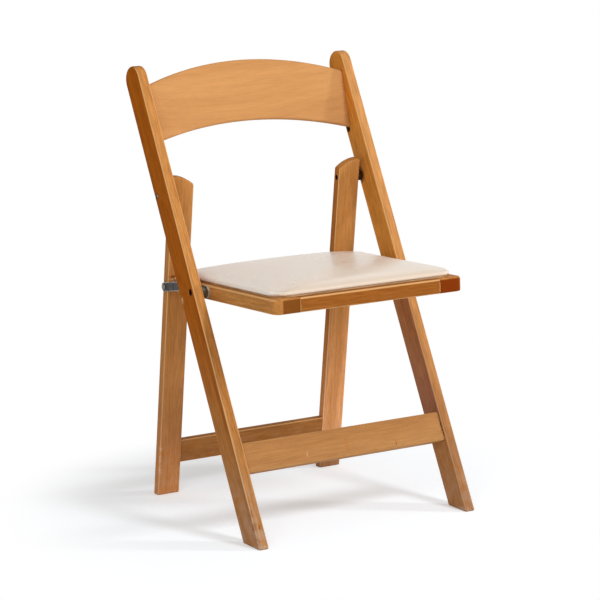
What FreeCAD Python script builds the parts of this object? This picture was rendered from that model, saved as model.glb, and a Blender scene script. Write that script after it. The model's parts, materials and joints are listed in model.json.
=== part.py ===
import FreeCAD, Part
import math
import os

# Wooden folding chair, millimetres and degrees, +Z up, front towards -Y.
# Origin: floor level, in the middle of the chair's width and depth.

# Posts
overall_width = 444.0
post_height = 780.0
post_lean = 27.2
post_thick = 19.0
post_depth = 50.0
arris = 3.0

# Back slat, let into the posts and bent so that its middle stands back
slat_drop = 118.0             # along the post, from its round top's centre to the slat's lower front edge
slat_foot_back = 35.0         # from the post's front face
slat_lean = 14.1
slat_height = 104.0
slat_thick = 12.0
slat_bend = 14.6
slat_top_rise = 35.5
slat_bottom_rise = 29.5
slat_tenon = 8.0
slat_edge = 3.5
groove_overrun = 3.5          # routed groove past the slat's lower edge, before its round

# Front stretcher
front_stretcher_up = 135.0
front_stretcher_height = 52.5
front_stretcher_thick = 19.0
front_stretcher_setback = 4.0

# Rear legs
leg_pivot_drop = 91.7         # along the post, from the slat's lower front edge
leg_pivot_back = 44.0         # from the post's front face
rear_lean = 7.5
leg_width = 44.0
leg_thick = 16.5
leg_gap = 7.6                 # between post and leg
leg_head = 34.0               # leg above its pivot, at its outer edge
leg_head_fall = 17.0          # how much lower the head is at its inner edge
leg_head_crown = 5.0          # rise of the head's arc above its chord
leg_head_round = 6.0
leg_arris = 2.5
foot_edge = 2.0               # round where a foot meets the floor

# Rear stretcher
rear_stretcher_up = 58.6      # along the leg, from the floor
rear_stretcher_height = 43.0
rear_stretcher_thick = 14.0
rear_stretcher_setback = 1.0

# Seat frame
seat_pivot_up = 464.0         # along the post
seat_pivot_back = 12.3        # from the post's front face
seat_tilt = 2.4
seat_length = 347.5
seat_side_gap = 12.5          # between the seat and each post
seat_leg_gap = 8.35           # between the seat's rear edge and the rear legs
seat_pivot_sink = 10.0        # pivot below the rails' upper face
rail_width = 49.0
rail_thick = 25.5
rail_top_arris = 4.5
rail_arris = 2.5
rail_corner = 15.0
rail_rear_round = 6.0

# Upholstered pad
pad_side_inset = 7.2
pad_front_inset = 10.0
pad_rear_inset = 7.0
pad_height = 19.5
pad_corner = 34.0
pad_corner_growth = 0.1       # growth of the corner's radius towards the middle, per inset
pad_draw_in = 0.8             # how far each side is drawn in between its corners
pad_undercut = 1.2            # how far the side is drawn in at its foot
pad_shoulder = 8.0            # width of the rounded shoulder
pad_wall_share = 0.43         # height of the upright side, as a share of the pad's
pad_shoulder_share = 0.61     # height at the shoulder's inner edge, as a share of the pad's
pad_crown_share = 0.6         # where the crown becomes level, as a share of the way to the middle
cover_thick = 1.2
panel_thick = 5.0

# Steel side plates and fold links
plate_thick = 3.0
plate_height = 22.0
plate_front = 15.0            # plate in front of the seat pivot
plate_drop = 2.0              # plate's middle below the seat pivot
plate_rear_margin = 13.0      # plate behind the link stud
link_width = 16.0
link_thick = 2.5
link_screw_below = 14.7       # link screw below the seat pivot
stud_rise = 3.0               # link stud above the seat pivot
seat_fold = 113.0
leg_fold = 29.0

# Fasteners
bolt_radius = 3.0
bolt_head_radius = 5.0
bolt_head_height = 3.2
counterbore_depth = 5.0
seat_recess_depth = 8.0
seat_recess_radius = 6.3
nut_radius = 4.4
nut_length = 16.0
nut_recess_depth = 22.0
nut_slot_depth = 2.2
nut_slot_width = 2.0
nut_web = 4.4                 # solid end of the nut, slot included
spacer_radius = 9.5
sleeve_radius = 7.0
insert_radius = 5.0
insert_length = 22.0
link_screw_length = 22.0
link_head_radius = 5.6
link_head_height = 3.2
link_washer_thick = 0.6
link_washer_radius = 6.3
stud_radius = 4.0
stud_head_radius = 6.0
stud_head_height = 1.5
dowel_radius = 4.0
dowel_length = 30.0
dowel_edge = 14.0             # dowel centre from the board's edge
screw_radius = 2.0
screw_head_radius = 4.0
screw_head_height = 2.2
plate_screw_length = 16.0
panel_screw_grip = 3.0        # panel screw's hold in the plywood
panel_screw_bore = 9.0        # depth of the bore that sinks its head

# Clearances
running_gap = 0.05            # pin in its turning hole, on the radius
seat_gap = 0.2                # pieces that lie side by side
turn_gap = 0.3                # pieces that turn past each other
head_room = 0.5               # round a sunk head

# Derived places
lean = math.radians(post_lean)
half_width = overall_width / 2
post_inner = half_width - post_thick
leg_outer = post_inner - leg_gap
leg_inner = leg_outer - leg_width
seat_half = post_inner - seat_side_gap
rail_inner = seat_half - rail_width
rail_top = seat_pivot_sink
rail_bottom = seat_pivot_sink - rail_thick
plate_outer = seat_half + plate_thick
link_inner = leg_outer + link_washer_thick
link_outer = link_inner + link_thick
nut_end = leg_inner + nut_recess_depth - seat_gap
nut_start = nut_end - nut_length
nut_thread_start = nut_start + nut_web
post_round = post_depth / 2
post_round_up = (post_height - post_round + post_round * math.sin(lean)) / math.cos(lean)
slat_foot_up = post_round_up - slat_drop
leg_pivot_up = slat_foot_up - leg_pivot_drop

X_AXIS = FreeCAD.Vector(1, 0, 0)
Y_AXIS = FreeCAD.Vector(0, 1, 0)
Z_AXIS = FreeCAD.Vector(0, 0, 1)


def turned(base, degrees):
    """Frame at base whose Y and Z axes are turned about X."""
    return FreeCAD.Placement(base, FreeCAD.Rotation(X_AXIS, degrees))


foot_frame = turned(FreeCAD.Vector(0, 0, 0), -post_lean)
leg_pivot_at_foot = foot_frame.multVec(FreeCAD.Vector(0, leg_pivot_back, leg_pivot_up))
seat_pivot_at_foot = foot_frame.multVec(FreeCAD.Vector(0, seat_pivot_back, seat_pivot_up))


def seat_reach():
    """How far the seat runs back from its pivot, up to its gap in front of the rear legs."""
    seat_edge = turned(seat_pivot_at_foot, -seat_tilt).multVec(FreeCAD.Vector(0, 0, rail_top))
    from_leg = turned(leg_pivot_at_foot, rear_lean).inverse().multVec(seat_edge).y
    room = -leg_thick / 2 - seat_leg_gap - from_leg
    return room / math.cos(math.radians(seat_tilt + rear_lean))


seat_rear = seat_reach()
seat_front = seat_rear - seat_length

# The chair's depth runs from the seat's front edge to the back of the posts' tops.
front_reach = turned(seat_pivot_at_foot, -seat_tilt).multVec(FreeCAD.Vector(0, seat_front, rail_bottom)).y
rear_reach = foot_frame.multVec(FreeCAD.Vector(0, post_round, post_round_up)).y + post_round
shift = FreeCAD.Vector(0, -(front_reach + rear_reach) / 2, 0)

post_frame = turned(shift, -post_lean)
leg_pivot = post_frame.multVec(FreeCAD.Vector(0, leg_pivot_back, leg_pivot_up))
seat_pivot = post_frame.multVec(FreeCAD.Vector(0, seat_pivot_back, seat_pivot_up))
leg_frame = turned(leg_pivot, rear_lean)
seat_frame = turned(seat_pivot, -seat_tilt)
slat_frame = turned(post_frame.multVec(FreeCAD.Vector(0, slat_foot_back, slat_foot_up)), -slat_lean)
leg_length = leg_pivot.z / math.cos(math.radians(rear_lean))
link_drop = (leg_pivot.z - seat_pivot.z + link_screw_below) / math.cos(math.radians(rear_lean))
rear_stretcher_low = rear_stretcher_up - leg_length
rear_stretcher_top = rear_stretcher_low + rear_stretcher_height


def folded(point, pivot, degrees):
    """Where a point lies after its body has folded about a pivot."""
    return FreeCAD.Placement(FreeCAD.Vector(), FreeCAD.Rotation(X_AXIS, -degrees), pivot).multVec(point)


link_screw = leg_frame.multVec(FreeCAD.Vector(0, 0, -link_drop))
screw_folded = folded(link_screw, leg_pivot, leg_fold)


def link_stud_place():
    """Stud on the seat plate that is as far from the link screw when open as when folded."""
    screw_back = folded(screw_folded, seat_pivot, -seat_fold)
    along = seat_frame.Rotation.multVec(Y_AXIS)
    up = seat_frame.Rotation.multVec(Z_AXIS)
    chord = screw_back - link_screw
    middle = (screw_back + link_screw) * 0.5 - seat_pivot
    return (middle.dot(chord) - stud_rise * up.dot(chord)) / along.dot(chord)


stud_back = link_stud_place()
link_stud = seat_frame.multVec(FreeCAD.Vector(0, stud_back, stud_rise))
link_run = link_stud - link_screw
link_length = link_run.Length
link_rise = math.degrees(math.atan2(link_run.z, -link_run.y))


def box(x, y, z):
    """Box from three (low, high) pairs."""
    return Part.makeBox(x[1] - x[0], y[1] - y[0], z[1] - z[0], FreeCAD.Vector(x[0], y[0], z[0]))


def bar(radius, start, end, y=0.0, z=0.0):
    """Cylinder along X."""
    return Part.makeCylinder(radius, end - start, FreeCAD.Vector(start, y, z), X_AXIS)


def soften(solid, radius, chosen):
    """Round the edges that the test picks."""
    edges = [edge for edge in solid.Edges if chosen(edge.BoundBox)]
    return solid.makeFillet(radius, edges)


def placed(solid, frame):
    moved = solid.copy()
    moved.Placement = frame.multiply(moved.Placement)
    return moved


def mirrored(solid):
    return solid.mirror(FreeCAD.Vector(), X_AXIS)


def both(solid):
    """A right-hand piece and its left-hand twin, in one group."""
    return Part.makeCompound([solid, mirrored(solid)])


def standing(solid):
    """Solid cut off at the floor, with its foot's edges rounded."""
    low = solid.BoundBox
    depth = abs(low.ZMin) + 1
    slab = box((low.XMin - 1, low.XMax + 1), (low.YMin - 1, low.YMax + 1), (-depth, 0))
    return soften(solid.cut(slab), foot_edge, lambda b: b.ZMax < 0.01)


def dowel_rows(low, high):
    """Two dowel centres across a board's edge."""
    return (low + dowel_edge, high - dowel_edge)


def post():
    """Right post: round-topped leaning board with its bolt holes, slat mortise and dowel holes."""
    low = -post_depth
    outline = Part.Wire([
        Part.makeLine((post_inner, 0, low), (post_inner, 0, post_round_up)),
        Part.Arc(FreeCAD.Vector(post_inner, 0, post_round_up),
                 FreeCAD.Vector(post_inner, post_round, post_round_up + post_round),
                 FreeCAD.Vector(post_inner, post_depth, post_round_up)).toShape(),
        Part.makeLine((post_inner, post_depth, post_round_up), (post_inner, post_depth, low)),
        Part.makeLine((post_inner, post_depth, low), (post_inner, 0, low)),
    ])
    board = Part.Face(outline).extrude(X_AXIS * post_thick)
    board = soften(board, arris, lambda b: b.XLength < 0.01 and b.ZMax > 0)
    holes = [
        bar(bolt_radius, post_inner - 1, half_width + 1, leg_pivot_back, leg_pivot_up),
        bar(bolt_head_radius + head_room, half_width - counterbore_depth, half_width + 1,
            leg_pivot_back, leg_pivot_up),
        bar(bolt_radius + running_gap, post_inner - 1, half_width + 1, seat_pivot_back, seat_pivot_up),
        bar(seat_recess_radius, half_width - seat_recess_depth, half_width + 1,
            seat_pivot_back, seat_pivot_up),
    ]
    holes += [bar(dowel_radius, post_inner - 1, post_inner + dowel_length / 2, y, z)
              for y, z in front_dowel_places()]
    board = placed(board.cut(holes), post_frame)
    board = board.cut([placed(cut, slat_frame) for cut in slat_groove()])
    return standing(board)


def slat_arc(half, height, low, rise):
    """Arc in X and Z through two ends at one height and a raised middle."""
    return Part.Arc(FreeCAD.Vector(-half, low, height), FreeCAD.Vector(0, low, height + rise),
                    FreeCAD.Vector(half, low, height)).toShape()


def slat_blank(grow):
    """Bent slat with arched edges, grown all round by an allowance."""
    end = post_inner + slat_tenon + grow
    bend_radius = (post_inner ** 2 + slat_bend ** 2) / (2 * slat_bend)
    middle = FreeCAD.Vector(0, slat_bend - bend_radius, -slat_height)
    tall = 3 * slat_height
    outer = Part.makeCylinder(bend_radius + slat_thick + grow, tall, middle)
    inner = Part.makeCylinder(bend_radius - grow, tall, middle)
    reach = 2 * slat_bend + slat_thick
    bent = outer.cut(inner).common(box((-end, end), (-reach, reach), (-slat_height, 2 * slat_height)))
    widen = (end / post_inner) ** 2
    top_end = slat_height + grow + slat_top_rise * (1 - widen)
    bottom_end = -grow + slat_bottom_rise * (1 - widen)
    outline = Part.Wire([
        slat_arc(end, bottom_end, -reach, slat_bottom_rise * widen),
        Part.makeLine((end, -reach, bottom_end), (end, -reach, top_end)),
        slat_arc(end, top_end, -reach, slat_top_rise * widen),
        Part.makeLine((-end, -reach, top_end), (-end, -reach, bottom_end)),
    ])
    return bent.common(Part.Face(outline).extrude(Y_AXIS * (2 * reach)))


def slat_groove():
    """Groove that fits a slat's end, routed a little past its lower edge, where it ends round."""
    cutter = slat_thick / 2
    span = (post_inner - 1, post_inner + slat_tenon)
    run = box(span, (0, slat_thick), (-groove_overrun, slat_height / 2))
    return [slat_blank(seat_gap / 2), run, bar(cutter, span[0], span[1], cutter, -groove_overrun)]


def back_slat():
    slat = soften(slat_blank(0), slat_edge, lambda b: b.XLength > post_inner)
    return placed(slat, slat_frame)


def front_dowel_places():
    back = front_stretcher_setback + front_stretcher_thick / 2
    top = front_stretcher_up + front_stretcher_height
    return [(back, up) for up in dowel_rows(front_stretcher_up, top)]


def front_stretcher():
    rail = box((-post_inner, post_inner),
               (front_stretcher_setback, front_stretcher_setback + front_stretcher_thick),
               (front_stretcher_up, front_stretcher_up + front_stretcher_height))
    rail = soften(rail, arris, lambda b: b.XLength > post_inner)
    holes = [bar(dowel_radius, post_inner - dowel_length / 2, post_inner + 1, y, z)
             for y, z in front_dowel_places()]
    holes += [mirrored(hole) for hole in holes]
    return placed(rail.cut(holes), post_frame)


def front_stretcher_dowels():
    pins = [bar(dowel_radius, post_inner - dowel_length / 2, post_inner + dowel_length / 2, y, z)
            for y, z in front_dowel_places()]
    return placed(both(Part.makeCompound(pins)), post_frame)


def domed_head(radius, height, x, grow=1):
    """Round screw head that rises along X from a flat seat at x."""
    ball = (radius ** 2 + height ** 2) / (2 * height)
    cap = Part.makeSphere(ball, FreeCAD.Vector(x + grow * (height - ball), 0, 0))
    return cap.common(bar(radius, min(x, x + grow * height), max(x, x + grow * height)))


def leg_pivot_bolt():
    seat = half_width - counterbore_depth
    shank = bar(bolt_radius, nut_thread_start + seat_gap, seat)
    return placed(shank.fuse(domed_head(bolt_head_radius, bolt_head_height, seat)), at_leg_pivot)


def leg_pivot_nut():
    """Barrel nut with a driver slot, sunk in the leg's inner edge."""
    barrel = bar(nut_radius, nut_start, nut_end)
    slot = box((nut_start - 1, nut_start + nut_slot_depth), (-nut_radius, nut_radius),
               (-nut_slot_width / 2, nut_slot_width / 2))
    thread = bar(bolt_radius, nut_thread_start, nut_end + 1)
    return placed(barrel.cut([slot, thread]), at_leg_pivot)


def leg_pivot_spacer():
    ring = bar(spacer_radius, leg_outer + seat_gap, post_inner)
    return placed(ring.cut(bar(bolt_radius, leg_outer, post_inner + 1)), at_leg_pivot)


def rear_leg():
    """Right rear leg: flat board whose head falls in an arc to its inner edge."""
    low = -leg_length - leg_width
    front = -leg_thick / 2
    inner_top = FreeCAD.Vector(leg_inner, front, leg_head - leg_head_fall)
    outer_top = FreeCAD.Vector(leg_outer, front, leg_head)
    crown = (inner_top + outer_top) * 0.5 + Z_AXIS * leg_head_crown
    outline = Part.Wire([
        Part.makeLine((leg_inner, front, low), (leg_outer, front, low)),
        Part.makeLine((leg_outer, front, low), outer_top),
        Part.Arc(outer_top, crown, inner_top).toShape(),
        Part.makeLine(inner_top, (leg_inner, front, low)),
    ])
    board = Part.Face(outline).extrude(Y_AXIS * leg_thick)
    board = soften(board, leg_head_round, lambda b: b.XLength + b.ZLength < 0.01 and b.ZMin > 0)
    board = soften(board, leg_arris, lambda b: b.YLength < 0.01 and b.ZMax > low / 2)
    holes = [
        bar(bolt_radius + running_gap, leg_inner - 1, leg_outer + 1),
        bar(nut_radius + turn_gap, leg_inner - 1, leg_inner + nut_recess_depth),
        bar(screw_radius, leg_outer - link_screw_length, leg_outer + 1, 0, -link_drop),
    ]
    holes += [bar(dowel_radius, leg_inner - 1, leg_inner + dowel_length / 2, y, z)
              for y, z in rear_dowel_places()]
    return standing(placed(board.cut(holes), leg_frame))


def rear_dowel_places():
    back = -leg_thick / 2 + rear_stretcher_setback + rear_stretcher_thick / 2
    return [(back, up) for up in dowel_rows(rear_stretcher_low, rear_stretcher_top)]


def rear_stretcher():
    front = -leg_thick / 2 + rear_stretcher_setback
    rail = box((-leg_inner, leg_inner), (front, front + rear_stretcher_thick),
               (rear_stretcher_low, rear_stretcher_top))
    rail = soften(rail, leg_arris, lambda b: b.XLength > leg_inner)
    holes = [bar(dowel_radius, leg_inner - dowel_length / 2, leg_inner + 1, y, z)
             for y, z in rear_dowel_places()]
    holes += [mirrored(hole) for hole in holes]
    return placed(rail.cut(holes), leg_frame)


def rear_stretcher_dowels():
    pins = [bar(dowel_radius, leg_inner - dowel_length / 2, leg_inner + dowel_length / 2, y, z)
            for y, z in rear_dowel_places()]
    return placed(both(Part.makeCompound(pins)), leg_frame)


def link_screw_piece():
    """Shouldered screw that carries a fold link on the outside of the rear leg."""
    shoulder = bar(bolt_radius, leg_outer, link_outer + seat_gap)
    thread = bar(screw_radius, leg_outer - link_screw_length, leg_outer)
    head = domed_head(link_head_radius, link_head_height, link_outer + seat_gap)
    return placed(shoulder.fuse([thread, head]), at_link_screw)


def link_washer():
    ring = bar(link_washer_radius, leg_outer, link_inner - seat_gap)
    return placed(ring.cut(bar(bolt_radius, leg_outer - 1, link_inner)), at_link_screw)


def side_rail():
    """Right seat rail: runs the whole depth, with rounded outer corners."""
    corner_turn = rail_corner * (1 - math.sqrt(0.5))
    inner_front = FreeCAD.Vector(rail_inner, seat_front, rail_bottom)
    inner_rear = FreeCAD.Vector(rail_inner, seat_rear, rail_bottom)
    outer_rear = FreeCAD.Vector(seat_half, seat_rear, rail_bottom)
    round_start = FreeCAD.Vector(seat_half - rail_corner, seat_front, rail_bottom)
    round_middle = FreeCAD.Vector(seat_half - corner_turn, seat_front + corner_turn, rail_bottom)
    round_end = FreeCAD.Vector(seat_half, seat_front + rail_corner, rail_bottom)
    outline = Part.Wire([
        Part.makeLine(inner_front, round_start),
        Part.Arc(round_start, round_middle, round_end).toShape(),
        Part.makeLine(round_end, outer_rear),
        Part.makeLine(outer_rear, inner_rear),
        Part.makeLine(inner_rear, inner_front),
    ])
    rail = Part.Face(outline).extrude(Z_AXIS * rail_thick)
    rail = soften(rail, rail_rear_round, is_rear_lower_edge)
    rail = soften(rail, rail_top_arris, lambda b: is_rail_edge(b, rail_top))
    rail = soften(rail, rail_arris, lambda b: is_rail_edge(b, rail_bottom))
    holes = [bar(dowel_radius, rail_inner - 1, rail_inner + dowel_length / 2, y, z)
             for y, z in rail_dowel_places()]
    holes += [bar(insert_radius, seat_half - insert_length, seat_half + 1)]
    holes += [bar(screw_radius, seat_half - plate_screw_length, seat_half + 1, y, 0)
              for y in plate_screw_places()]
    for y in panel_screw_places():
        foot = FreeCAD.Vector(panel_screw_side, y, rail_bottom - 1)
        holes.append(Part.makeCylinder(screw_radius, rail_thick + 2, foot))
        holes.append(Part.makeCylinder(screw_head_radius + head_room, panel_screw_bore + 1, foot))
    return placed(rail.cut(holes), seat_frame)


def is_rail_edge(bounds, level):
    """Edge along a side rail's outside or front, at one level."""
    flat = bounds.ZLength < 0.01 and abs(bounds.ZMax - level) < 0.01
    return flat and bounds.XMax > rail_inner + 1 and bounds.YMin < 0


def is_rear_lower_edge(bounds):
    flat = bounds.ZLength < 0.01 and bounds.YLength < 0.01
    return flat and bounds.ZMax < rail_bottom + 0.01 and bounds.YMax > seat_rear - 0.01


def cross_rail(low, high):
    return box((-rail_inner, rail_inner), (low, high), (rail_bottom, rail_top))


def bored_rail(rail, places):
    holes = [bar(dowel_radius, rail_inner - dowel_length / 2, rail_inner + 1, y, z) for y, z in places]
    holes += [mirrored(hole) for hole in holes]
    return placed(rail.cut(holes), seat_frame)


def front_rail():
    rail = cross_rail(seat_front, seat_front + rail_width)
    front_edges = ((rail_top_arris, rail_top), (rail_arris, rail_bottom))
    for radius, level in front_edges:
        rail = soften(rail, radius, lambda b: b.YMax < seat_front + 0.01 and abs(b.ZMin - level) < 0.01
                      and b.ZLength < 0.01)
    return bored_rail(rail, rail_dowel_places()[:2])


def rear_rail():
    rail = cross_rail(seat_rear - rail_width, seat_rear)
    rail = soften(rail, rail_rear_round, is_rear_lower_edge)
    return bored_rail(rail, rail_dowel_places()[2:])


def rail_dowel_places():
    middle = (rail_top + rail_bottom) / 2
    front = dowel_rows(seat_front, seat_front + rail_width)
    rear = dowel_rows(seat_rear - rail_width, seat_rear)
    return [(back, middle) for back in front + rear]


def seat_rail_dowels():
    pins = [bar(dowel_radius, rail_inner - dowel_length / 2, rail_inner + dowel_length / 2, y, z)
            for y, z in rail_dowel_places()]
    return placed(both(Part.makeCompound(pins)), seat_frame)


def pad_outline(inset, rise, corner):
    """Rounded rectangle whose four sides are drawn in a little between the corners."""
    x = seat_half - pad_side_inset - inset
    front = seat_front + pad_front_inset + inset
    rear = seat_rear - pad_rear_inset - inset
    z = rail_top + seat_gap + rise
    turn = corner * (1 - math.sqrt(0.5))
    middle = (front + rear) / 2
    draw = pad_draw_in
    arcs = [
        ((-x + corner, front), (0, front + draw), (x - corner, front)),
        ((x - corner, front), (x - turn, front + turn), (x, front + corner)),
        ((x, front + corner), (x - draw, middle), (x, rear - corner)),
        ((x, rear - corner), (x - turn, rear - turn), (x - corner, rear)),
        ((x - corner, rear), (0, rear - draw), (-x + corner, rear)),
        ((-x + corner, rear), (-x + turn, rear - turn), (-x, rear - corner)),
        ((-x, rear - corner), (-x + draw, middle), (-x, front + corner)),
        ((-x, front + corner), (-x + turn, front + turn), (-x + corner, front)),
    ]
    return Part.Wire([Part.Arc(*[FreeCAD.Vector(u, v, z) for u, v in arc]).toShape() for arc in arcs])


def pad_form(skin):
    """Crowned pad, a skin's thickness inside the outer form."""
    crown = pad_height - skin
    steps = [(pad_undercut, 0.0)]
    for turn in (0, 22.5, 45, 67.5, 90):
        angle = math.radians(turn)
        rise = pad_wall_share + (pad_shoulder_share - pad_wall_share) * math.sin(angle)
        steps.append((pad_shoulder * (1 - math.cos(angle)), rise))
    span = min(seat_half, seat_length / 2) - pad_shoulder
    for way in (0.25, 0.6, 1.0):
        rise = 1 - (1 - pad_shoulder_share) * (1 - way) ** 2
        steps.append((pad_shoulder + span * pad_crown_share * way, rise))
    wires = []
    for inset, share in steps:
        corner = pad_corner + inset * pad_corner_growth
        wires.append(pad_outline(inset + skin, crown * share, corner))
    return Part.makeLoft(wires, True, True)


def panel_slab():
    low = rail_top + seat_gap - 1
    high = rail_top + seat_gap + panel_thick
    return box((-seat_half, seat_half), (seat_front, seat_rear), (low, high))


def seat_panel():
    panel = pad_form(cover_thick + seat_gap).common(panel_slab())
    holes = []
    for y in panel_screw_places():
        foot = FreeCAD.Vector(panel_screw_side, y, rail_top)
        holes.append(Part.makeCylinder(screw_radius, seat_gap + panel_screw_grip, foot))
    holes += [mirrored(hole) for hole in holes]
    return placed(panel.cut(holes), seat_frame)


def seat_foam():
    return placed(pad_form(cover_thick + seat_gap).cut(panel_slab()), seat_frame)


def seat_cover():
    return placed(pad_form(0).cut(pad_form(cover_thick)), seat_frame)


def panel_screw_places():
    return (seat_front + rail_width / 2 + dowel_edge, seat_rear - rail_width / 2 - dowel_edge)


def panel_screws():
    """Screws that hold the upholstered panel, driven up through the side rails."""
    screws = []
    for y in panel_screw_places():
        head = rail_bottom + panel_screw_bore - screw_head_height
        length = rail_top + seat_gap + panel_screw_grip - head
        foot = FreeCAD.Vector(panel_screw_side, y, head)
        shank = Part.makeCylinder(screw_radius, length, foot)
        screws.append(shank.fuse(Part.makeCylinder(screw_head_radius, screw_head_height, foot)))
    return placed(both(Part.makeCompound(screws)), seat_frame)


def plate_screw_places():
    return (stud_back / 3, stud_back * 2 / 3)


def obround(start, end, radius, x, thick):
    """Flat bar with round ends, from x outwards, between two (y, z) centres."""
    run = FreeCAD.Vector(0, end[0] - start[0], end[1] - start[1])
    strip = Part.makeBox(thick, run.Length, 2 * radius, FreeCAD.Vector(x, 0, -radius))
    strip = strip.fuse([bar(radius, x, x + thick), bar(radius, x, x + thick, run.Length)]).removeSplitter()
    angle = math.degrees(math.atan2(run.z, run.y))
    return placed(strip, turned(FreeCAD.Vector(0, start[0], start[1]), angle))


def countersink():
    """Flat head of a plate screw, flush with the plate's outer face."""
    base = FreeCAD.Vector(plate_outer - screw_head_height, 0, 0)
    return Part.makeCone(screw_radius, screw_head_radius, screw_head_height, base, X_AXIS)


def plate_screw():
    return bar(screw_radius, seat_half - plate_screw_length, plate_outer).fuse(countersink())


def plate_screw_set():
    return [placed(plate_screw(), turned(FreeCAD.Vector(0, y, 0), 0)) for y in plate_screw_places()]


def seat_plate():
    """Steel plate on the seat rail's side that carries the seat pivot and the link stud."""
    radius = plate_height / 2
    rear = stud_back + plate_rear_margin
    front_end = (-plate_front + radius, -plate_drop)
    plate = obround(front_end, (rear - radius, -plate_drop), radius, seat_half, plate_thick)
    holes = [bar(bolt_radius, seat_half - 1, plate_outer + 1),
             bar(stud_radius + turn_gap, seat_half - 1, plate_outer + 1, stud_back, stud_rise)]
    return placed(plate.cut(holes + plate_screw_set()), seat_frame)


def plate_screws():
    return placed(both(Part.makeCompound(plate_screw_set())), seat_frame)


def seat_pivot_bolt():
    """Bolt that turns in the post and is held in the seat rail's threaded insert."""
    seat = half_width - seat_recess_depth + turn_gap
    shank = bar(bolt_radius, seat_half - insert_length + seat_gap, seat)
    return placed(shank.fuse(domed_head(bolt_head_radius, bolt_head_height, seat)), seat_frame)


def seat_pivot_insert():
    tube = bar(insert_radius, seat_half - insert_length, seat_half)
    return placed(tube.cut(bar(bolt_radius, seat_half - insert_length - 1, seat_half + 1)), seat_frame)


def seat_pivot_sleeve():
    tube = bar(sleeve_radius, plate_outer, post_inner - turn_gap)
    return placed(tube.cut(bar(bolt_radius, plate_outer - 1, post_inner)), seat_frame)


def fold_link():
    """Flat steel link from the rear leg's screw to the seat plate's stud."""
    radius = link_width / 2
    link = obround((0, 0), (link_length, 0), radius, link_inner, link_thick)
    holes = [bar(bolt_radius + running_gap, link_inner - 1, link_outer + 1),
             bar(stud_radius, link_inner - 1, link_outer + 1, link_length)]
    return placed(link.cut(holes), along_link)


def link_stud_piece():
    """Stud riveted into the link's front end, short of the seat plate by a turning gap."""
    shank = bar(stud_radius, plate_outer + turn_gap, link_outer)
    head = domed_head(stud_head_radius, stud_head_height, link_outer)
    return placed(placed(shank.fuse(head), turned(FreeCAD.Vector(0, link_length, 0), 0)), along_link)


at_leg_pivot = turned(leg_pivot, rear_lean)
at_link_screw = turned(link_screw, rear_lean)
along_link = turned(link_screw, 180 - link_rise)
panel_screw_side = (rail_inner + seat_half) / 2

pieces = {
    "left_post": mirrored(post()),
    "right_post": post(),
    "back_slat": back_slat(),
    "front_stretcher": front_stretcher(),
    "front_stretcher_dowels": front_stretcher_dowels(),
    "leg_pivot_bolts": both(leg_pivot_bolt()),
    "leg_pivot_nuts": both(leg_pivot_nut()),
    "leg_pivot_spacers": both(leg_pivot_spacer()),
    "left_rear_leg": mirrored(rear_leg()),
    "right_rear_leg": rear_leg(),
    "rear_stretcher": rear_stretcher(),
    "rear_stretcher_dowels": rear_stretcher_dowels(),
    "link_screws": both(link_screw_piece()),
    "link_washers": both(link_washer()),
    "seat_left_rail": mirrored(side_rail()),
    "seat_right_rail": side_rail(),
    "seat_front_rail": front_rail(),
    "seat_rear_rail": rear_rail(),
    "seat_rail_dowels": seat_rail_dowels(),
    "seat_panel": seat_panel(),
    "seat_foam": seat_foam(),
    "seat_cover": seat_cover(),
    "panel_screws": panel_screws(),
    "left_seat_plate": mirrored(seat_plate()),
    "right_seat_plate": seat_plate(),
    "plate_screws": plate_screws(),
    "seat_pivot_bolts": both(seat_pivot_bolt()),
    "seat_pivot_inserts": both(seat_pivot_insert()),
    "seat_pivot_sleeves": both(seat_pivot_sleeve()),
    "left_fold_link": mirrored(fold_link()),
    "right_fold_link": fold_link(),
    "link_studs": both(link_stud_piece()),
}

os.makedirs("parts", exist_ok=True)
for name, piece in pieces.items():
    piece.exportStep("parts/" + name + ".step")
    print(name, len(piece.Solids), "solids", round(piece.Volume / 1000, 1), "cm3", "valid", piece.isValid())

stud_folded = folded(link_stud, seat_pivot, seat_fold)
run_folded = stud_folded - screw_folded
turn = math.degrees(math.atan2(run_folded.z, run_folded.y) - math.atan2(link_run.z, link_run.y)) % 360
print("leg pivot", leg_pivot, "seat pivot", seat_pivot)
print("link screw", link_screw, "link stud", link_stud, "link length", link_length, run_folded.Length)
print("link turns", turn + leg_fold, "against the leg over the fold")
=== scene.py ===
import bmesh
import bpy
import json
import math
import numpy as np
from mathutils import Matrix, Vector


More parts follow.
